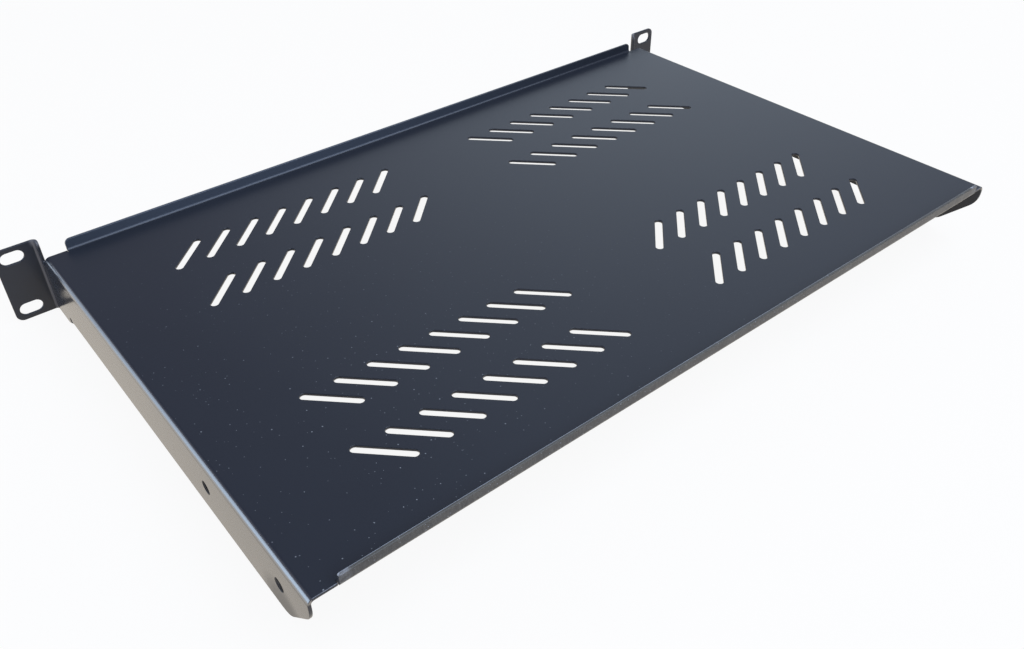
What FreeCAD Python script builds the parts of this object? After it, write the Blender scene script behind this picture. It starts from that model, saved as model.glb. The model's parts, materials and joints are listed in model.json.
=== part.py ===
# Cantilever shelf for a 19-inch rack: one steel sheet, punched and folded.
# All sizes are in millimetres.
# The origin is the middle of the four ear slots, on the ear faces that bear on the rack rails.
# +X is across the rack, +Y runs back from the ears, +Z is up.
import FreeCAD, Part
import math
import os

# Sheet and folds
sheet = 1.5                 # thickness of the steel
fold_radius = 1.5           # inside radius of every fold

# Rack ears
slot_span = 465.1           # between the slot centres of the two ears
slot_rise = 31.75           # between the two slot centres of one ear
slot_length = 12.0          # ear slot, end to end
slot_height = 7.0           # ear slot, across
ear_edge_web = 2.75         # metal between a slot and the ear's outer edge
ear_end_web = 2.625         # metal between a slot and the ear's top or bottom edge
ear_fold_web = 5.05         # flat metal between a slot and the ear's fold
ear_corner_radius = 4.0     # outer corners of the ears
neck_length = 1.5           # straight side wall behind the ear's fold, above the deck
neck_corner_radius = 3.0    # top corner of the neck

# Deck
deck_below_ear_top = 7.0    # from the ear's top edge down to the deck's upper face
deck_depth = 273.8          # between the cut edges at the deck's front and rear corners
deck_setback = 9.2          # from the rail face back to the deck's front cut edge
front_lip_height = 6.0      # above the deck's upper face
rear_lip_height = 5.3       # above the deck's upper face
lip_setback = 12.5          # from the side wall's outer face to the end of a lip
front_lip_corner_radius = 3.0
rear_lip_corner_radius = 0.8
slit_width = 0.2            # relief slit at each end of a lip
slit_past_fold = 0.4        # the slit runs this far past the fold line

# Side walls
corner_notch_drop = 2.5     # corner notch, below the deck fold's lower end
corner_notch_radius = 1.5
toe_drop = 5.0              # the toe under the ear reaches this far below the side wall's edge
toe_length = 18.0           # from the rail face to the start of the toe's rise
toe_rise_length = 10.0      # length of the slope between the toe and the side wall's edge
toe_radius = 6.0            # rounds at both ends of that slope
heel_cut = 21.5             # rear lower corner, cut off at 45 degrees
heel_radius = 13.0          # rounds at both ends of that cut
side_hole_diameter = 6.4
side_hole_spacing = 62.0    # between the two holes of a side wall
side_hole_from_rear = 25.0  # from the deck's rear cut edge to the rear hole
side_hole_below_deck = 16.4 # from the deck's upper face to the hole centres
tooling_hole_diameter = 3.6
tooling_hole_back = 23.8    # from the rail face
tooling_hole_below_deck = 32.4

# Vent slots, at 45 degrees, mirrored from block to block
vent_length = 28.5          # end to end
vent_width = 4.0
vent_pitch = 17.0           # along a row
vent_row_spacing = 40.8     # between the two rows of a block
vent_front_margin = 44.5    # from the deck's front cut edge to the nearest row
vent_rear_margin = 43.3     # from the deck's rear cut edge to the nearest row
vent_middle_margin = 41.0   # from the shelf's middle to the nearest slot centre
vent_side_margin = 54.0     # least distance from a slot centre to the side wall's outer face


def vector(x, y, z):
    return FreeCAD.Vector(x, y, z)


def rounded_face(corners, to_point):
    """A flat face from corners (u, v, radius), where to_point turns (u, v) into a point."""
    edges = []
    joints = []
    count = len(corners)
    for i in range(count):
        u, v, radius = corners[i]
        here = vector(u, v, 0)
        before = vector(corners[i - 1][0], corners[i - 1][1], 0)
        after = vector(corners[(i + 1) % count][0], corners[(i + 1) % count][1], 0)
        if radius == 0:
            joints.append((here, None, here))
            continue
        to_before = (before - here).normalize()
        to_after = (after - here).normalize()
        half_angle = to_before.getAngle(to_after) / 2
        tangent = radius / math.tan(half_angle)
        inwards = (to_before + to_after).normalize()
        middle = here + inwards * (radius / math.sin(half_angle) - radius)
        joints.append((here + to_before * tangent, middle, here + to_after * tangent))
    for i in range(count):
        start, middle, end = joints[i]
        following = joints[(i + 1) % count][0]
        if middle is not None:
            points = [to_point(p.x, p.y) for p in (start, middle, end)]
            edges.append(Part.Arc(points[0], points[1], points[2]).toShape())
        edges.append(Part.LineSegment(to_point(end.x, end.y), to_point(following.x, following.y)).toShape())
    return Part.Face(Part.Wire(edges))


def fold(centre, first, second, run):
    """A quarter bend of the sheet about centre, from direction first to direction second."""
    outer_radius = fold_radius + sheet
    diagonal = (first + second).normalize()
    outer = Part.Arc(centre + first * outer_radius, centre + diagonal * outer_radius, centre + second * outer_radius)
    inner = Part.Arc(centre + second * fold_radius, centre + diagonal * fold_radius, centre + first * fold_radius)
    start = Part.LineSegment(centre + first * fold_radius, centre + first * outer_radius)
    end = Part.LineSegment(centre + second * outer_radius, centre + second * fold_radius)
    wire = Part.Wire([start.toShape(), outer.toShape(), end.toShape(), inner.toShape()])
    return Part.Face(wire).extrude(run)


def slot_tool(middle, along, through, length, width):
    """A cutter with the outline of a slot round its middle, pushed along the vector through."""
    across = through.cross(along).normalize()
    half_straight = (length - width) / 2
    far = middle + along * half_straight
    near = middle - along * half_straight
    side = across * (width / 2)
    far_end = Part.Arc(far + side, far + along * (width / 2), far - side)
    near_end = Part.Arc(near - side, near - along * (width / 2), near + side)
    top = Part.LineSegment(near + side, far + side)
    bottom = Part.LineSegment(far - side, near - side)
    wire = Part.Wire([top.toShape(), far_end.toShape(), bottom.toShape(), near_end.toShape()])
    return Part.Face(wire).extrude(through)


# Sizes that follow from the ones above
outer_radius = fold_radius + sheet
ear_height = slot_rise + slot_height + 2 * ear_end_web
ear_top = ear_height / 2
ear_outer = slot_span / 2 + slot_length / 2 + ear_edge_web
ear_flat_start = slot_span / 2 - slot_length / 2 - ear_fold_web
wall_outer = ear_flat_start - fold_radius
wall_inner = wall_outer - sheet
wall_bottom = toe_drop - ear_top
deck_top = ear_top - deck_below_ear_top
deck_under = deck_top - sheet
deck_front = deck_setback
deck_rear = deck_setback + deck_depth
side_fold_x = wall_outer - outer_radius
side_fold_z = deck_top - outer_radius
lip_half_length = wall_outer - lip_setback
front_lip_y = deck_front - sheet    # outer faces of the lips; their inner faces
rear_lip_y = deck_rear + sheet      # are flush with the deck's cut edges

X = vector(1, 0, 0)
Y = vector(0, 1, 0)
Z = vector(0, 0, 1)


def ear():
    """One ear on the +X side: flat plate with rounded outer corners and two slots."""
    corners = [
        (ear_flat_start, -ear_top, 0),
        (ear_outer, -ear_top, ear_corner_radius),
        (ear_outer, ear_top, ear_corner_radius),
        (ear_flat_start, ear_top, 0),
    ]
    plate = rounded_face(corners, lambda x, z: vector(x, 0, z)).extrude(Y * -sheet)
    for z in (-slot_rise / 2, slot_rise / 2):
        middle = vector(slot_span / 2, sheet, z)
        plate = plate.cut(slot_tool(middle, X, Y * (-3 * sheet), slot_length, slot_height))
    return plate


def side_wall():
    """The flat side wall on the +X side, with its neck, corner notch, toe and cut-off heel."""
    neck_back = fold_radius + neck_length
    notch_bottom = side_fold_z - corner_notch_drop
    notch_radius = min(corner_notch_radius, corner_notch_drop)
    corners = [
        (fold_radius, ear_top, 0),
        (neck_back, ear_top, 0),
        (neck_back, notch_bottom, notch_radius),
        (deck_front, notch_bottom, notch_radius),
        (deck_front, side_fold_z, 0),
        (deck_rear, side_fold_z, 0),
        (deck_rear, wall_bottom + heel_cut, heel_radius),
        (deck_rear - heel_cut, wall_bottom, heel_radius),
        (toe_length + toe_rise_length, wall_bottom, toe_radius),
        (toe_length, -ear_top, toe_radius),
        (fold_radius, -ear_top, 0),
    ]
    wall = rounded_face(corners, lambda y, z: vector(wall_inner, y, z)).extrude(X * sheet)
    rear_hole_y = deck_rear - side_hole_from_rear
    holes = [
        (rear_hole_y, side_hole_below_deck, side_hole_diameter),
        (rear_hole_y - side_hole_spacing, side_hole_below_deck, side_hole_diameter),
        (tooling_hole_back, tooling_hole_below_deck, tooling_hole_diameter),
    ]
    for y, drop, diameter in holes:
        start = vector(wall_inner - sheet, y, deck_top - drop)
        wall = wall.cut(Part.makeCylinder(diameter / 2, 3 * sheet, start, X))
    return wall


def neck_corner():
    """What the rounded top corner of the neck takes off, across the ear's fold."""
    back = fold_radius + neck_length
    block = Part.makeBox(
        ear_flat_start - wall_inner,
        neck_corner_radius,
        neck_corner_radius,
        vector(wall_inner, back - neck_corner_radius, ear_top - neck_corner_radius),
    )
    centre = vector(wall_inner - sheet, back - neck_corner_radius, ear_top - neck_corner_radius)
    return block.cut(Part.makeCylinder(neck_corner_radius, ear_flat_start, centre, X))


def side():
    """Everything beside the deck on the +X side: deck fold, side wall, ear fold and ear."""
    deck_fold = fold(vector(side_fold_x, deck_front, side_fold_z), X, Z, Y * deck_depth)
    ear_fold = fold(vector(ear_flat_start, fold_radius, -ear_top), -X, -Y, Z * ear_height)
    return deck_fold.fuse([side_wall(), ear_fold, ear()]).cut(neck_corner())


def lip(outer_y, inwards, height, corner_radius):
    """An upturned lip with its fold. outer_y is its outer face, inwards points to the deck."""
    fold_centre_z = deck_top + fold_radius
    start = vector(-lip_half_length, outer_y, 0) + inwards * outer_radius + Z * fold_centre_z
    lip_fold = fold(start, -Z, -inwards, X * (2 * lip_half_length))
    radius = min(corner_radius, height - fold_radius - sheet / 4)
    corners = [
        (-lip_half_length, fold_centre_z, 0),
        (lip_half_length, fold_centre_z, 0),
        (lip_half_length, deck_top + height, radius),
        (-lip_half_length, deck_top + height, radius),
    ]
    plate = rounded_face(corners, lambda x, z: vector(x, outer_y, z)).extrude(inwards * sheet)
    return lip_fold.fuse(plate)


def deck():
    """The flat deck between the side folds, cut back to the fold lines of the two lips."""
    plate = Part.makeBox(2 * side_fold_x, deck_depth, sheet, vector(-side_fold_x, deck_front, deck_under))
    front_fold_line = front_lip_y + outer_radius
    rear_fold_line = rear_lip_y - outer_radius
    reach = outer_radius + sheet
    for line, direction in ((front_fold_line, -1), (rear_fold_line, 1)):
        low = min(line, line + direction * reach)
        bay = Part.makeBox(2 * lip_half_length, reach, 3 * sheet, vector(-lip_half_length, low, deck_under - sheet))
        plate = plate.cut(bay)
    return plate


def slits():
    """Relief slits through the deck at the four lip ends."""
    tools = []
    depth = outer_radius + slit_past_fold
    for outer_y, direction in ((front_lip_y, 1), (rear_lip_y, -1)):
        low = min(outer_y, outer_y + direction * depth)
        for x in (lip_half_length, -lip_half_length - slit_width):
            tools.append(Part.makeBox(slit_width, depth, 3 * sheet, vector(x, low, deck_under - sheet)))
    return tools


def vents():
    """Cutters for the four blocks of slanting slots."""
    tools = []
    room = wall_outer - vent_side_margin - vent_middle_margin
    copies = int(room / vent_pitch) + 1
    for side_sign in (-1, 1):
        for end_y, end_sign in ((deck_front + vent_front_margin, 1), (deck_rear - vent_rear_margin, -1)):
            along = (X + Y * (side_sign * end_sign)).normalize()
            for row in range(2):
                y = end_y + end_sign * row * vent_row_spacing
                for i in range(copies):
                    x = side_sign * (vent_middle_margin + i * vent_pitch)
                    middle = vector(x, y, deck_under - sheet)
                    tools.append(slot_tool(middle, along, Z * (3 * sheet), vent_length, vent_width))
    return tools


def shelf():
    right = side()
    left = right.mirror(vector(0, 0, 0), X)
    front_lip = lip(front_lip_y, Y, front_lip_height, front_lip_corner_radius)
    rear_lip = lip(rear_lip_y, -Y, rear_lip_height, rear_lip_corner_radius)
    folded = deck().fuse([right, left, front_lip, rear_lip])
    return folded.removeSplitter().cut(slits() + vents())


os.makedirs("parts", exist_ok=True)
result = shelf()
solid = result.Solids[0]
print("solids", len(result.Solids), "valid", solid.isValid(), "volume", round(solid.Volume))
print("box", solid.BoundBox)
solid.exportStep("parts/cantilever_shelf.step")
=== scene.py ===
"""Cantilever rack shelf in black powder coat, on a pale floor in soft studio light.

The shelf is one folded sheet, so it is one piece here too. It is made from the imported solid,
with the small rounding that a powder coat leaves on every cut edge, and takes the place of
that solid. Lengths are in metres, with the ears' rear faces on y = 0, +Y back into the rack
and +Z up. The near ends of the lips are those on the +X side, where the camera stands.
"""

import json
import math
from types import SimpleNamespace

import bmesh
import bpy
from mathutils import Matrix, Vector


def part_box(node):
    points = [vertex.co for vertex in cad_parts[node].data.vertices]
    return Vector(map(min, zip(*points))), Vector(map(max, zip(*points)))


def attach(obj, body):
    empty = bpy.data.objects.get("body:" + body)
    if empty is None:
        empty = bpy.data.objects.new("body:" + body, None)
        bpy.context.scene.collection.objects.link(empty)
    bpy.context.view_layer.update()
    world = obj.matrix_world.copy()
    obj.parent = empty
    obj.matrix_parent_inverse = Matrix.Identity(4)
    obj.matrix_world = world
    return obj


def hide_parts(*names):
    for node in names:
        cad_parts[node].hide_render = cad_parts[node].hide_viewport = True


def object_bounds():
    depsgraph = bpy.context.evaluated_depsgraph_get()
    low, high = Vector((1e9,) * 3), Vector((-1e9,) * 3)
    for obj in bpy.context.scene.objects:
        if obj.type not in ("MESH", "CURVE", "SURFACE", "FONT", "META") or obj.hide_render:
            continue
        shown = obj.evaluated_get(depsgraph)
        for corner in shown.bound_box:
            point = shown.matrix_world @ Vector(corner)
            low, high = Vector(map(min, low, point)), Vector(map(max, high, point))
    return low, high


NODE = "cantilever_shelf"
BODY = "root"
MM = 0.001

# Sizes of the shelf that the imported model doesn't state
SHEET = 1.5 * MM
FRONT_LIP_INNER = 9.2 * MM
REAR_LIP_HEIGHT = 5.3 * MM
LIP_SETBACK = 12.5 * MM
SLIT_WIDTH = 0.2 * MM
WALL_HEIGHT = 32 * MM
BEND_RADIUS = 3 * MM

# Rounding of the cut edges under the coat
EDGE_ROUNDING = 0.35 * MM
SLIT_ROUNDING_SHARE = 0.2
SLIT_MARGIN = 0.05 * MM
SLIT_ROUNDING_RISE = 3.0 * MM
CUSP_ANGLE = math.radians(115)
ROUNDING_STEPS = 3
SHARP_ANGLE = math.radians(40)
MERGE_DISTANCE = 0.002 * MM
FLAT_ANGLE = math.radians(1.5)
FLAT_FACE_WEIGHT = 100

# The camera of the photograph
CAMERA_PLACE = Vector((286.95, 479.40, 286.32)) * MM
CAMERA_AIM = Vector((68.74, 209.01, 15.00)) * MM
CAMERA_ROLL = math.radians(-0.706)
CAMERA_LENS = 33.05
CAMERA_SENSOR = 36.0
CAMERA_NEAREST = 10 * MM

# The floor, as it is lit, as the camera sees it and as the shelf mirrors it
FLOOR_SIZE = 30.0
FLOOR_COLOUR = (0.83, 0.82, 0.80, 1)
WHITE = (1.0, 1.0, 1.0, 1)
FLOOR_MIRRORED = (1.03, 0.95, 0.84, 1)
FLOOR_SHOWN_TO_CAMERA = 0.92
FLOOR_SHOWN_MIRRORED = 1.0
FLOOR_SHEEN_ROUGHNESS = 0.20
FLOOR_SHEEN_IOR = 1.8
FLOOR_SHEEN_START = 0.12

# The room, dim but for a bright side ahead of the ears, toward -X
ROOM_DIM = (0.28, 0.27, 0.32, 1)
ROOM_BRIGHT = (1.04, 1.18, 1.34, 1)
ROOM_BRIGHT_SIDE = Vector((-0.69, -0.62, 0.375)).normalized()
ROOM_BRIGHT_EDGE = 0.80

# A large soft lamp, high up beyond the shelf's rear edge
FILL_PLACE = Vector((-0.35, 1.25, 1.70))
FILL_AIM = Vector((0.0, 0.14, 0.0))
FILL_WIDTH = 2.40
FILL_HEIGHT = 2.80
FILL_GLOW = (1.9, 2.2, 2.7)

# A window of narrow panes, ahead of the ears on the +X side, brighter and taller toward +X
WINDOW_PLACE = Vector((1.10, -0.78, 0.0))
WINDOW_AIM = Vector((0.22, 0.14, 0.0))
WINDOW_WIDTH = 1.30
WINDOW_FOOT = -0.02
WINDOW_TOP_AT_START = 0.62
WINDOW_TOP_AT_END = 0.92
WINDOW_GLOW_AT_START = Vector((0.15, 0.18, 0.20))
WINDOW_GLOW_AT_END = Vector((2.1, 2.7, 3.4))
WINDOW_PANES = 6

# The sound coat
COAT_DARK = (0.015, 0.019, 0.028, 1)
COAT_LIGHT = (0.019, 0.024, 0.034, 1)
COAT_ROUGHNESS = 0.19
COAT_IOR = 1.42
BEND_GLOSS_IOR = 2.5
BEND_GLOSS_ROUGHNESS = 0.20

# Orange peel of the coat
PEEL_SCALE = 900.0
PEEL_DETAIL = 2.0
PEEL_STRENGTH = 0.05
PEEL_HEIGHT = 0.2 * MM

# Colours of the worn and chipped places, of what lies on the coat, and of the light, highlights and
# reflection painted on it
# Painted light: a lighter blue-grey on the front lip's inner face and on the walls' fronts
PAINTED_LIGHT_BLUE = (0.062, 0.078, 0.105, 1)
SCUFFED = (0.095, 0.093, 0.086, 1)
# Worn grey on the ears' corners, and a painted highlight down the ears' bends
CORNER_WEAR_AND_BEND_HIGHLIGHT = (0.17, 0.165, 0.17, 1)
WORN_RIM = (0.095, 0.092, 0.080, 1)
# Painted highlight along the inner edge of the rear lip's top
PAINTED_RIM_HIGHLIGHT = (0.32, 0.355, 0.40, 1)
# Painted reflection: a lighter grey inside the side holes
PAINTED_HOLE_REFLECTION = (0.075, 0.070, 0.062, 1)
# Pale chips and grains, and a painted highlight along the deck's rear edge
CHIPS_AND_EDGE_HIGHLIGHT = (0.40, 0.42, 0.46, 1)
DUST = (0.24, 0.26, 0.28, 1)
RUST = (0.20, 0.06, 0.04, 1)

# What clouding, the deck, wear and dust add to the coat's roughness
CLOUD_ROUGHNESS = 0.04
DECK_ROUGHNESS = 0.13
LIP_ROUGHNESS = 0.12
HOLE_ROUGHNESS = 0.3
HEEL_ROUGHNESS = 0.16
DUST_ROUGHNESS = 0.3

# Uneven patterns: their detail, their cells to the metre, and how they are moved or stretched
UNEVEN_DETAIL = 3.0
CLOUD_SCALE = 14.0
PATCH_SCALE = 160.0
PATCH_SHIFT = (0.31, 0, 0)
STREAK_SCALE = 1.0
STREAK_STRETCH = (1500, 300, 260)

# Values of those patterns between which a kind of wear, or the breaks in the painted highlight on the
# deck's edge, comes in
STREAKS_COME_IN = (0.35, 0.75)
SCUFFS_COME_IN = (0.40, 0.75)
CHIPS_COME_IN = (0.42, 0.62)
EDGE_HIGHLIGHT_COMES_IN = (0.30, 0.60)
EAR_WEAR_COMES_IN = (0.36, 0.50)

# How strongly each kind of wear and of painted light shows, where 1 hides the coat
FRONT_LIP_AT_FAR_END = 0.05
FRONT_LIP_AT_NEAR_END = 0.7
STREAKS_SHOW = 0.35
SCUFF_PATCHES_SHOW = 0.25
SCUFFED_ALL_OVER = 0.30
RIM_WEAR_LEAST = 0.6
RIM_WEAR_UNEVEN = 0.5
RIM_HIGHLIGHT_AT_FAR_END = 0.25
RIM_HIGHLIGHT_LEAST = 0.5
RIM_HIGHLIGHT_UNEVEN = 0.8
FAR_END_CHIPS_SHOW = 0.6
FACE_CHIPS_SHOW = 0.15
TOP_CHIPS_SHOW = 0.40
GRAINS_SHOW = 0.7
DECK_EDGE_HIGHLIGHT_SHOWS = 0.55
BEND_HIGHLIGHT_LEAST = 0.6
BEND_HIGHLIGHT_UNEVEN = 0.4
EAR_CORNERS_SHOW = 0.8
WALL_FRONT_LIGHT_SHOWS = 0.4
RUST_SHOWS = 0.8
FINE_DUST_SHOWS = 0.6
DUST_AWAY_FROM_CORNER = 0.05

# Specks: cells to the metre, rough radius as a share of a cell, and share of cells with one
LIP_GRAINS = {"scale": 900.0, "size": 0.22, "share": 0.10}
COARSE_DUST = {"scale": 170.0, "size": 0.056, "share": 0.28}
FINE_DUST = {"scale": 420.0, "size": 0.115, "share": 0.07}
RUST_SPECKS = {"scale": 260.0, "size": 0.13, "share": 0.10}
SPECK_LEAST = 0.4
SPECK_CORE = 0.3
SPECK_CELL_EDGE = 0.95

# Single marks. Chip core and hole rims are shares of the chip's size and the hole's radius
CHIP_SIZE = 1.0 * MM
CHIP_CORE = 0.5
FAR_CHIP_INSET = 4.5 * MM
HOLE_RIM = 1.08
HOLE_RIM_CORE = 1.04
HEEL_INSET = 24 * MM
HEEL_REACH = 20 * MM
HEEL_CORE = 3 * MM

# How straight up a face points where it begins to count as level, and where it wholly does
FACING_UP = (0.90, 0.99)


class Value:
    """A number on a shader socket. Arithmetic on it adds the Math nodes."""

    def __init__(self, tree, socket):
        self.tree = tree
        self.socket = socket

    def math(self, operation, *values):
        return self.tree.node("ShaderNodeMath", {"operation": operation}, *values)

    def __add__(self, other):
        return self.math("ADD", self, other)

    def __radd__(self, other):
        return self.math("ADD", other, self)

    def __sub__(self, other):
        return self.math("SUBTRACT", self, other)

    def __rsub__(self, other):
        return self.math("SUBTRACT", other, self)

    def __mul__(self, other):
        return self.math("MULTIPLY", self, other)

    def __rmul__(self, other):
        return self.math("MULTIPLY", other, self)

    def __truediv__(self, other):
        return self.math("DIVIDE", self, other)

    def __rtruediv__(self, other):
        return self.math("DIVIDE", other, self)

    def most(self, other):
        return self.math("MAXIMUM", self, other)

    def ramp(self, low, high):
        """0 below low, 1 above high and smooth between them, or the other way round."""
        rising = low < high
        settings = {"interpolation_type": "SMOOTHSTEP"}
        stops = {"From Min": min(low, high), "From Max": max(low, high)}
        ends = {"To Min": 0.0 if rising else 1.0, "To Max": 1.0 if rising else 0.0}
        return self.tree.node("ShaderNodeMapRange", settings, Value=self, **stops, **ends)

    def fade(self, low, high, least):
        """A ramp that goes down to least and not to 0."""
        return self.ramp(low, high) * (1 - least) + least


class Tree:
    """A node tree of a material or of the world, built by one call for each node."""

    def __init__(self, owner):
        owner.use_nodes = True
        self.nodes = owner.node_tree.nodes
        self.links = owner.node_tree.links
        self.nodes.clear()

    def node(self, kind, settings=None, *values, output=0, **named):
        """Add a node of a kind: its settings come first, then its inputs by number or by name."""
        made = self.nodes.new(kind)
        for name, setting in (settings or {}).items():
            setattr(made, name, setting)
        for name, value in [*enumerate(values), *named.items()]:
            self.feed(self.socket(made, name), value)
        return Value(self, made.outputs[output]) if made.outputs else None

    def socket(self, node, name):
        """A node's input by its number, or by its name with _ for a space."""
        if isinstance(name, int):
            return node.inputs[name]
        wanted = name.replace("_", " ")
        return next(socket for socket in node.inputs if socket.enabled and socket.name == wanted)

    def feed(self, socket, value):
        if isinstance(value, Value):
            self.links.new(value.socket, socket)
        else:
            socket.default_value = value

    def mix(self, share, low, high):
        """A colour between low and high."""
        kind = {"data_type": "RGBA"}
        return self.node("ShaderNodeMix", kind, Factor=share, A=low, B=high, output=2)

    def part(self, vector, axis):
        """One of a vector's three numbers."""
        return self.node("ShaderNodeSeparateXYZ", None, vector, output=axis)


class Coat:
    """The powder coat in the making: where a point of the shelf lies, and how it looks so far."""

    def __init__(self, tree):
        self.tree = tree
        self.place = tree.node("ShaderNodeTexCoord", output="Object")
        self.x, self.y, self.z = [tree.part(self.place, axis) for axis in "XYZ"]
        self.across = self.x.most(self.x * -1.0)
        normal = tree.node("ShaderNodeNewGeometry", output="Normal")
        self.facing_up = tree.part(normal, "Z").ramp(*FACING_UP)
        cloud = self.noise(CLOUD_SCALE)
        self.patches = self.noise(PATCH_SCALE, shift=PATCH_SHIFT)
        self.colour = tree.mix(cloud, COAT_DARK, COAT_LIGHT)
        self.roughness = COAT_ROUGHNESS + cloud * CLOUD_ROUGHNESS

    def lay(self, share, colour):
        """Lay a colour over the coat. Where share is 1 it hides what is below."""
        self.colour = self.tree.mix(share, self.colour, colour)

    def roughen(self, share, extra):
        """Make the coat rougher, by extra where share is 1."""
        self.roughness = self.roughness + share * extra

    def noise(self, scale, detail=UNEVEN_DETAIL, stretch=(1, 1, 1), shift=(0, 0, 0)):
        mapping = {"Vector": self.place, "Location": shift, "Scale": stretch}
        moved = self.tree.node("ShaderNodeMapping", None, **mapping)
        return self.tree.node("ShaderNodeTexNoise", None, Vector=moved, Scale=scale, Detail=detail)

    def specks(self, along, up, scale, size, share):
        """Scattered specks on a face: only a share of the cells of the pattern hold one."""
        flat = self.tree.node("ShaderNodeCombineXYZ", None, along, up, 0.0)
        cells = ("ShaderNodeTexVoronoi", {"voronoi_dimensions": "2D"})
        distance = self.tree.node(*cells, Vector=flat, Scale=scale)
        colour = self.tree.node(*cells, Vector=flat, Scale=scale, output="Color")
        chance = self.tree.node("ShaderNodeSeparateColor", None, colour, output="Red")
        uneven = self.tree.node("ShaderNodeSeparateColor", None, colour, output="Green")
        speck = (distance / (uneven + SPECK_LEAST)).ramp(size, size * SPECK_CORE)
        return speck * chance.ramp(share, share * SPECK_CELL_EDGE)

    def chip(self, spot, size):
        """1 in the core of a round chip at a spot and 0 outside its size."""
        apart = {"operation": "DISTANCE"}
        gap = self.tree.node("ShaderNodeVectorMath", apart, self.place, spot, output="Value")
        return gap.ramp(size, size * CHIP_CORE)

    def round_patch(self, patch_y, patch_z, reach, core):
        """A round patch on both side walls: 1 within core of a point and 0 beyond its reach."""
        off_y = self.y - patch_y
        off_z = self.z - patch_z
        return (off_y * off_y + off_z * off_z).ramp(reach ** 2, core ** 2)


def looking_at(place, aim):
    """How a camera or lamp stands at its place when it is turned to its aim."""
    turn = (aim - place).to_track_quat("-Z", "Y").to_matrix().to_4x4()
    return Matrix.Translation(place) @ turn


def make_camera():
    """The photograph's camera: its place, aim, lens and slight roll."""
    data = bpy.data.cameras.new("camera")
    data.lens = CAMERA_LENS
    data.sensor_width = CAMERA_SENSOR
    data.clip_start = CAMERA_NEAREST
    camera = bpy.data.objects.new("camera", data)
    bpy.context.scene.collection.objects.link(camera)
    roll = Matrix.Rotation(CAMERA_ROLL, 4, "Z")
    camera.matrix_world = looking_at(CAMERA_PLACE, CAMERA_AIM) @ roll
    bpy.context.scene.camera = camera


def ways_of_seeing(tree):
    """1 for what the camera sees straight, and 1 for what it sees mirrored or through glass."""
    paths = "ShaderNodeLightPath"
    camera = tree.node(paths, output="Is Camera Ray")
    glossy = tree.node(paths, output="Is Glossy Ray")
    through = tree.node(paths, output="Is Transmission Ray")
    return camera, glossy.most(through)


def make_room():
    """A soft room with one bright side, and with a white background for the camera."""
    world = bpy.data.worlds.new("studio_room")
    bpy.context.scene.world = world
    tree = Tree(world)
    direction = tree.node("ShaderNodeTexCoord", output="Generated")
    product = {"operation": "DOT_PRODUCT"}
    facing = tree.node("ShaderNodeVectorMath", product, direction, ROOM_BRIGHT_SIDE, output="Value")
    nearness = ((facing - ROOM_BRIGHT_EDGE) / (1 - ROOM_BRIGHT_EDGE)).most(0.0)
    colour = tree.mix(nearness * nearness, ROOM_DIM, ROOM_BRIGHT)
    camera, _ = ways_of_seeing(tree)
    shown = tree.mix(camera, colour, WHITE)
    background = tree.node("ShaderNodeBackground", None, Color=shown, Strength=1.0)
    tree.node("ShaderNodeOutputWorld", None, Surface=background)


def make_lamp(name, place, aim, width, height, glow):
    """A soft rectangular lamp. Its glow is the brightness seen when looking into it."""
    data = bpy.data.lights.new(name, "AREA")
    data.shape = "RECTANGLE"
    data.size = width
    data.size_y = height
    strongest = max(glow)
    data.energy = math.pi * width * height * strongest
    data.color = [part / strongest for part in glow]
    lamp = bpy.data.objects.new(name, data)
    bpy.context.scene.collection.objects.link(lamp)
    lamp.matrix_world = looking_at(place, aim)


def make_window():
    """The window's panes side by side, each a little brighter and taller than the one before."""
    across = (WINDOW_AIM - WINDOW_PLACE).cross(Vector((0, 0, 1))).normalized()
    pane_width = WINDOW_WIDTH / WINDOW_PANES
    for number in range(WINDOW_PANES):
        share = (number + 0.5) / WINDOW_PANES
        top = WINDOW_TOP_AT_START + (WINDOW_TOP_AT_END - WINDOW_TOP_AT_START) * share
        pane_height = top - WINDOW_FOOT
        shift = across * WINDOW_WIDTH * (share - 0.5) + Vector((0, 0, (top + WINDOW_FOOT) / 2))
        glow = WINDOW_GLOW_AT_START.lerp(WINDOW_GLOW_AT_END, share)
        name = f"window_pane_{number + 1}"
        make_lamp(name, WINDOW_PLACE + shift, WINDOW_AIM + shift, pane_width, pane_height, glow)


def floor_material():
    """Pale floor that shows as nearly white and keeps a faint shadow of the shelf."""
    material = bpy.data.materials.new("pale_floor")
    tree = Tree(material)
    camera, mirrored = ways_of_seeing(tree)
    seen = tree.mix(camera, FLOOR_MIRRORED, WHITE)
    shade = tree.node("ShaderNodeBsdfDiffuse", None, Color=FLOOR_COLOUR)
    glow = tree.node("ShaderNodeEmission", None, Color=seen, Strength=1.0)
    share = camera * FLOOR_SHOWN_TO_CAMERA + mirrored * FLOOR_SHOWN_MIRRORED
    plain = tree.node("ShaderNodeMixShader", None, share, shade, glow)
    polish = {"Color": WHITE, "Roughness": FLOOR_SHEEN_ROUGHNESS}
    sheen = tree.node("ShaderNodeBsdfAnisotropic", None, **polish)
    fresnel = tree.node("ShaderNodeFresnel", None, IOR=FLOOR_SHEEN_IOR)
    grazing = (fresnel - FLOOR_SHEEN_START).most(0.0)
    floor = tree.node("ShaderNodeMixShader", None, grazing * (1 - camera), plain, sheen)
    tree.node("ShaderNodeOutputMaterial", None, Surface=floor)
    return material


def make_floor(height):
    """A wide flat floor under the shelf."""
    half = FLOOR_SIZE / 2
    outline = [(-half, -half), (half, -half), (half, half), (-half, half)]
    mesh = bpy.data.meshes.new("floor")
    mesh.from_pydata([(x, y, height) for x, y in outline], [], [(0, 1, 2, 3)])
    mesh.materials.append(floor_material())
    floor = bpy.data.objects.new("floor", mesh)
    bpy.context.scene.collection.objects.link(floor)


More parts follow.
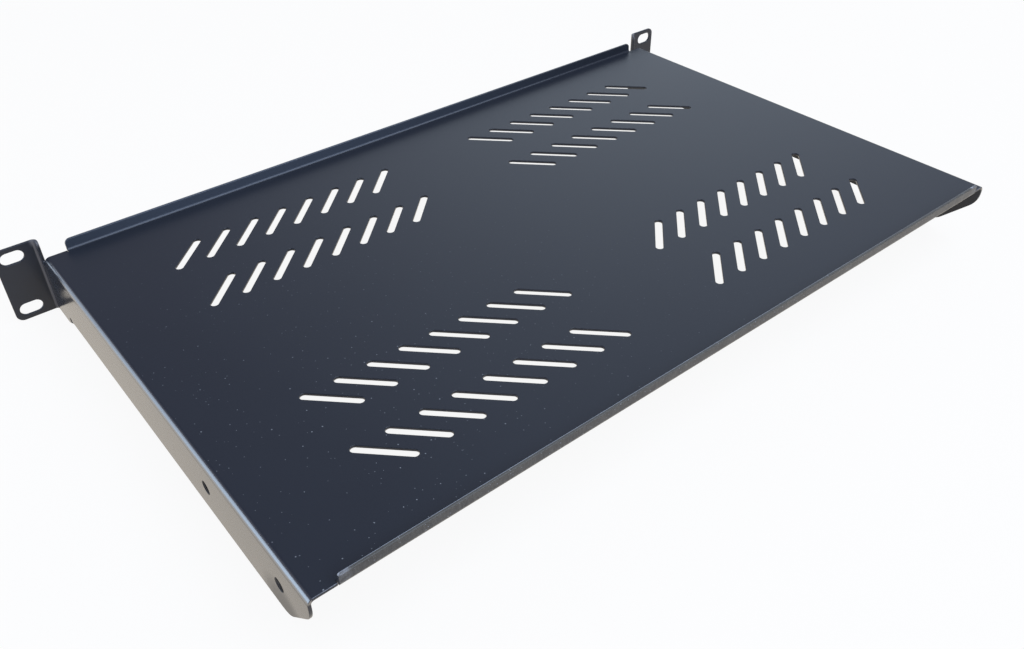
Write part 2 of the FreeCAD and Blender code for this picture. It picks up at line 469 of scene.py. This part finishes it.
def paint_light_on_front_lip(coat, sizes):
    """Painted light: the front lip's inner face is made a lighter blue-grey, hardly at its far end
    and most before its near end.
    """
    face = sizes.front_lip_inner
    above_deck = coat.z.ramp(sizes.deck_top + 0.1 * MM, sizes.deck_top + 0.5 * MM)
    before_deck = coat.y.ramp(face + 1.3 * MM, face + 0.7 * MM)
    behind_ears = coat.y.ramp(face - 3.0 * MM, face - 2.0 * MM)
    from_far_end = coat.x.fade(-220 * MM, 100 * MM, FRONT_LIP_AT_FAR_END)
    to_near_end = coat.x.fade(220 * MM, 160 * MM, FRONT_LIP_AT_NEAR_END)
    # Painted light: a lighter blue-grey laid on the lip's inner face
    coat.lay(above_deck * before_deck * behind_ears * (from_far_end * to_near_end), PAINTED_LIGHT_BLUE)


def wear_rear_lip_and_paint_rim_highlight(coat, sizes):
    """The rear lip is scuffed all over, worn and pale along its top, and chipped at its ends, with a
    painted highlight along its top's inner edge.
    """
    face = sizes.rear_lip_inner
    behind_face = coat.y.ramp(face - 0.10 * MM, face + 0.05 * MM)
    above_underside = coat.z.ramp(sizes.deck_top - 2.0 * MM, sizes.deck_top - 1.5 * MM)
    within_ends = coat.across.ramp(sizes.lip_end + 0.1 * MM, sizes.lip_end)
    on_lip = behind_face * above_underside * within_ends
    at_top = coat.z.ramp(sizes.lip_top - 0.50 * MM, sizes.lip_top - 0.15 * MM)

    streaks = coat.noise(STREAK_SCALE, stretch=STREAK_STRETCH)
    streaks = streaks.ramp(*STREAKS_COME_IN) * STREAKS_SHOW
    scuffs = coat.patches.ramp(*SCUFFS_COME_IN) * SCUFF_PATCHES_SHOW
    coat.lay(on_lip * (streaks + scuffs + SCUFFED_ALL_OVER), SCUFFED)
    coat.lay(on_lip * at_top * (RIM_WEAR_LEAST + coat.patches * RIM_WEAR_UNEVEN), WORN_RIM)

    # Painted highlight: a light blue-grey line along the inner edge of the lip's top
    at_inner_rim = coat.y.ramp(face + 0.50 * MM, face + 0.30 * MM) * at_top * on_lip
    rim_highlight = at_inner_rim * coat.x.fade(-200 * MM, 20 * MM, RIM_HIGHLIGHT_AT_FAR_END)
    coat.lay(rim_highlight * (RIM_HIGHLIGHT_LEAST + coat.patches * RIM_HIGHLIGHT_UNEVEN), PAINTED_RIM_HIGHLIGHT)

    near_end = coat.x.ramp(sizes.lip_end - 7 * MM, sizes.lip_end - 2 * MM)
    far_end = coat.x.ramp(-sizes.lip_end + 8 * MM, -sizes.lip_end + 3 * MM) * FAR_END_CHIPS_SHOW
    chips = near_end.most(far_end) * coat.patches.ramp(*CHIPS_COME_IN)
    coat.lay(on_lip * chips * (FACE_CHIPS_SHOW + at_top * TOP_CHIPS_SHOW), CHIPS_AND_EDGE_HIGHLIGHT)
    coat.lay(on_lip * coat.specks(coat.x, coat.z, **LIP_GRAINS) * GRAINS_SHOW, CHIPS_AND_EDGE_HIGHLIGHT)
    coat.roughen(on_lip, LIP_ROUGHNESS)


def paint_highlight_on_deck_edge(coat, sizes):
    """A painted highlight, patchy and broken, along the top of the deck's rear edge beside the lip,
    over its dark cut face.
    """
    edge = sizes.rear_lip_inner
    beside_lip = coat.across.ramp(sizes.lip_end, sizes.lip_end + 0.3 * MM)
    at_edge = coat.y.ramp(edge - 0.35 * MM, edge - 0.15 * MM)
    at_top = coat.z.ramp(sizes.deck_top - 0.30 * MM, sizes.deck_top - 0.10 * MM)
    # Painted highlight along the edge's top, in the chips' pale colour, broken up by the patches
    wear = coat.patches.ramp(*EDGE_HIGHLIGHT_COMES_IN) * DECK_EDGE_HIGHLIGHT_SHOWS
    coat.lay(beside_lip * at_edge * at_top * wear, CHIPS_AND_EDGE_HIGHLIGHT)


def paint_reflection_in_side_holes(coat, sizes):
    """Painted reflection: a lighter grey inside the side holes, which are also made rougher."""
    outer = sizes.wall_outer
    inner = sizes.wall_outer - SHEET
    within_sheet = coat.across.ramp(outer - 0.10 * MM, outer - 0.30 * MM)
    within_sheet = within_sheet * coat.across.ramp(inner - 0.1 * MM, inner)
    first, second = [
        coat.round_patch(hole_y, hole_z, radius * HOLE_RIM, radius * HOLE_RIM_CORE)
        for hole_y, hole_z, radius in sizes.side_holes
    ]
    in_hole = first.most(second) * within_sheet
    # Painted reflection: the lighter grey laid inside the holes
    coat.lay(in_hole, PAINTED_HOLE_REFLECTION)
    coat.roughen(in_hole, HOLE_ROUGHNESS)


def paint_highlight_in_ear_bends(coat, sizes):
    """A painted highlight: a light line down the inside of the ears' bends."""
    outer = sizes.wall_outer
    beside_wall = coat.across.ramp(outer + 1.55 * MM, outer + 0.80 * MM)
    beside_wall = beside_wall * coat.across.ramp(outer - 0.05 * MM, outer + 0.15 * MM)
    behind_ear = coat.y.ramp(-0.10 * MM, 0.05 * MM) * coat.y.ramp(1.7 * MM, 1.1 * MM)
    # Painted highlight, made uneven by the patches
    coat.lay(beside_wall * behind_ear * (BEND_HIGHLIGHT_LEAST + coat.patches * BEND_HIGHLIGHT_UNEVEN), CORNER_WEAR_AND_BEND_HIGHLIGHT)


def wear_ear_corners(coat, sizes):
    """Worn upper corners of the ears, at the neck and at the tip."""
    outer = sizes.wall_outer
    near_top = coat.z.ramp(sizes.ear_top - 4.5 * MM, sizes.ear_top - 1.0 * MM)
    toward_rear_face = coat.y.ramp(-1.6 * MM, -0.2 * MM)
    wear = coat.patches.ramp(*EAR_WEAR_COMES_IN) * EAR_CORNERS_SHOW
    at_neck = coat.across.ramp(outer + 3 * MM, outer + 1 * MM)
    at_neck = at_neck * coat.across.ramp(outer - 5 * MM, outer - 3 * MM)
    at_tip = coat.across.ramp(sizes.ear_tip - 3 * MM, sizes.ear_tip - 1 * MM)
    coat.lay(near_top * toward_rear_face * wear * at_neck.most(at_tip), CORNER_WEAR_AND_BEND_HIGHLIGHT)


def chip_lip_ends(coat, sizes):
    """A bright chip at each end of the rear lip."""
    for chip_x in (sizes.lip_end, -sizes.lip_end + FAR_CHIP_INSET):
        spot = (chip_x, sizes.rear_lip_inner + 0.4 * MM, sizes.lip_top)
        coat.lay(coat.chip(spot, CHIP_SIZE), CHIPS_AND_EDGE_HIGHLIGHT)


def dust_deck(coat):
    """Dust on the deck, more of it toward the near rear corner."""
    toward_corner = coat.y.ramp(0.0, 260 * MM) * coat.x.ramp(-100 * MM, 200 * MM)
    amount = toward_corner * (1 - DUST_AWAY_FROM_CORNER) + DUST_AWAY_FROM_CORNER
    coarse = coat.specks(coat.x, coat.y, **COARSE_DUST)
    fine = coat.specks(coat.x, coat.y, **FINE_DUST) * FINE_DUST_SHOWS
    dust = coat.facing_up * coarse.most(fine) * amount
    coat.lay(dust, DUST)
    coat.roughen(dust, DUST_ROUGHNESS)


def mark_side_walls(coat, sizes):
    """Outer faces of the side walls: painted light at the front, a lighter blue-grey near the ears,
    rust specks rearward and a dull heel.
    """
    rear = sizes.rear_lip_inner
    outer_face = coat.across.ramp(sizes.wall_outer - 0.3 * MM, sizes.wall_outer - 0.1 * MM)
    at_front = coat.y.ramp(40 * MM, 10 * MM) * coat.y.ramp(0.0, 2 * MM)
    # Painted light: a lighter blue-grey on the wall's front near the ear
    coat.lay(outer_face * at_front * WALL_FRONT_LIGHT_SHOWS, PAINTED_LIGHT_BLUE)
    rearward = coat.y.ramp(rear - 110 * MM, rear - 40 * MM)
    rust = coat.specks(coat.y, coat.z, **RUST_SPECKS) * rearward
    coat.lay(outer_face * rust * RUST_SHOWS, RUST)
    heel = coat.round_patch(rear - HEEL_INSET, sizes.heel_bottom, HEEL_REACH, HEEL_CORE)
    coat.roughen(outer_face * heel, HEEL_ROUGHNESS)


def glossy_bends(coat, sizes):
    """1 around the middle of the bends between deck and side walls, where the coat is glossier."""
    outer = sizes.wall_outer
    top = sizes.deck_top
    edge = sizes.front_lip_inner
    toward_wall = coat.across.ramp(outer - BEND_RADIUS * 0.80, outer - BEND_RADIUS * 0.47)
    toward_deck = coat.z.ramp(top - BEND_RADIUS * 0.97, top - BEND_RADIUS * 0.55)
    behind_lip = coat.y.ramp(edge - 0.6 * MM, edge - 0.2 * MM)
    return toward_wall * toward_deck * behind_lip


def powder_coat(sizes):
    """Semi-gloss blue-black powder coat, scuffed on the rear lip and the ears' corners, with some
    dust, and with painted light: lighter faces, highlights and a reflection in the side holes.
    """
    material = bpy.data.materials.new("blue_black_powder_coat")
    tree = Tree(material)
    coat = Coat(tree)
    paint_light_on_front_lip(coat, sizes)
    wear_rear_lip_and_paint_rim_highlight(coat, sizes)
    paint_highlight_on_deck_edge(coat, sizes)
    paint_reflection_in_side_holes(coat, sizes)
    paint_highlight_in_ear_bends(coat, sizes)
    wear_ear_corners(coat, sizes)
    chip_lip_ends(coat, sizes)
    dust_deck(coat)
    mark_side_walls(coat, sizes)
    coat.roughen(coat.facing_up, DECK_ROUGHNESS)
    peel = coat.noise(PEEL_SCALE, PEEL_DETAIL)
    depth = {"Strength": PEEL_STRENGTH, "Distance": PEEL_HEIGHT}
    bump = tree.node("ShaderNodeBump", None, Height=peel, **depth)
    finish = {"Base_Color": coat.colour, "Roughness": coat.roughness, "IOR": COAT_IOR, "Normal": bump}
    gloss = {"Coat_Roughness": BEND_GLOSS_ROUGHNESS, "Coat_IOR": BEND_GLOSS_IOR}
    on_bend = glossy_bends(coat, sizes)
    shader = tree.node("ShaderNodeBsdfPrincipled", None, Coat_Weight=on_bend, **gloss, **finish)
    tree.node("ShaderNodeOutputMaterial", None, Surface=shader)
    return material


def beside_slit(edge, sizes):
    """True for an edge of the narrow relief slits at the lips' ends."""
    inner = sizes.lip_end - SLIT_MARGIN
    outer = sizes.lip_end + SLIT_WIDTH + SLIT_MARGIN
    return all(inner < abs(corner.co.x) < outer for corner in edge.verts)


def shelf_blank(sizes):
    """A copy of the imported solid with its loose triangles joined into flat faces.

    Every cut edge is marked for rounding. The relief slits' edges get only a little near the
    deck and more toward the lip's top, and a knife edge gets only a little too.
    """
    solid = frame["nodes"][NODE]
    shape = bmesh.new()
    shape.from_mesh(solid.data)
    bmesh.ops.remove_doubles(shape, verts=shape.verts, dist=MERGE_DISTANCE)
    everywhere = {"verts": shape.verts, "edges": shape.edges, "use_dissolve_boundaries": False}
    bmesh.ops.dissolve_limit(shape, angle_limit=FLAT_ANGLE, **everywhere)
    rounding = shape.edges.layers.float.new("bevel_weight_edge")
    for edge in shape.edges:
        turn = edge.calc_face_angle(0.0)
        if turn < SHARP_ANGLE:
            continue
        share = 1.0
        if turn > CUSP_ANGLE:
            share = SLIT_ROUNDING_SHARE
        elif beside_slit(edge, sizes):
            middle = (edge.verts[0].co + edge.verts[1].co) / 2
            rise = max(0.0, (middle.z - sizes.deck_top) / SLIT_ROUNDING_RISE)
            share = min(1.0, SLIT_ROUNDING_SHARE + rise)
        edge[rounding] = share
    mesh = bpy.data.meshes.new("powder_coated_shelf")
    shape.to_mesh(mesh)
    shape.free()
    return mesh


def coat_edges(mesh):
    """The shelf's mesh with its marked edges rounded, as the coat leaves them."""
    rough = bpy.data.objects.new("shelf_before_coating", mesh)
    bpy.context.scene.collection.objects.link(rough)
    rounding = rough.modifiers.new("rounding", "BEVEL")
    rounding.width = EDGE_ROUNDING
    rounding.segments = ROUNDING_STEPS
    rounding.limit_method = "WEIGHT"
    rounding.use_clamp_overlap = False
    rounding.loop_slide = False
    rounding.miter_outer = "MITER_ARC"
    shading = rough.modifiers.new("flat_faces_stay_flat", "WEIGHTED_NORMAL")
    shading.weight = FLAT_FACE_WEIGHT
    mesh.polygons.foreach_set("use_smooth", [True] * len(mesh.polygons))
    depsgraph = bpy.context.evaluated_depsgraph_get()
    coated = bpy.data.meshes.new_from_object(rough.evaluated_get(depsgraph))
    coated.name = "powder_coated_shelf"
    bpy.data.objects.remove(rough)
    return coated


def make_shelf(box):
    """The folded sheet with its cut edges rounded by the coat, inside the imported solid's box."""
    sizes = shelf_sizes()
    mesh = shelf_blank(sizes)
    mesh.materials.clear()
    mesh.materials.append(powder_coat(sizes))
    coated = coat_edges(mesh)
    # A few points of the rounding would stand 0.01 mm past the box
    low, high = box
    for corner in coated.vertices:
        corner.co = [max(least, min(most, at)) for at, least, most in zip(corner.co, low, high)]
    shelf = bpy.data.objects.new("powder_coated_shelf", coated)
    bpy.context.scene.collection.objects.link(shelf)
    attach(shelf, BODY)
    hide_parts(NODE)


def shelf_sizes():
    """Where the shelf's forms lie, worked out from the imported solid's box and mounts."""
    _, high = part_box(NODE)
    mounts = {mount["name"]: mount for mount in frame["record"]["mounts"]}
    holes = mounts["side_holes_right"]
    wall_outer, holes_y, holes_z = holes["pos_m"]
    half_spacing = holes["dims"]["spacing_x_mm"] / 2 * MM
    radius = holes["dims"]["hole_r_mm"] * MM
    deck_top = mounts["deck_top"]["pos_m"][2]
    return SimpleNamespace(
        deck_top=deck_top,
        wall_outer=wall_outer,
        front_lip_inner=FRONT_LIP_INNER,
        rear_lip_inner=high[1] - SHEET,
        lip_top=deck_top + REAR_LIP_HEIGHT,
        lip_end=wall_outer - LIP_SETBACK,
        ear_top=high[2],
        ear_tip=high[0],
        heel_bottom=deck_top - WALL_HEIGHT,
        side_holes=[
            (holes_y - half_spacing, holes_z, radius),
            (holes_y + half_spacing, holes_z, radius),
        ],
    )


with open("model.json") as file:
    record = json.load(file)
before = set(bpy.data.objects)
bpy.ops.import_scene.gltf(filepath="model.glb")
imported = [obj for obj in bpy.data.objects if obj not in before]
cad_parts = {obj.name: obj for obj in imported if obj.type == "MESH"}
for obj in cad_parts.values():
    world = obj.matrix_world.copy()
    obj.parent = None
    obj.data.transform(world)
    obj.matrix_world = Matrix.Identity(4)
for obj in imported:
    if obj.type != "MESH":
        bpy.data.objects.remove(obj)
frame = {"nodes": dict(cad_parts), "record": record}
solid_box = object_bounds()
bpy.context.scene.view_settings.view_transform = "Standard"
make_camera()
make_room()
make_lamp("fill_above_camera", FILL_PLACE, FILL_AIM, FILL_WIDTH, FILL_HEIGHT, FILL_GLOW)
make_window()
make_floor(solid_box[0].z)
make_shelf(solid_box)
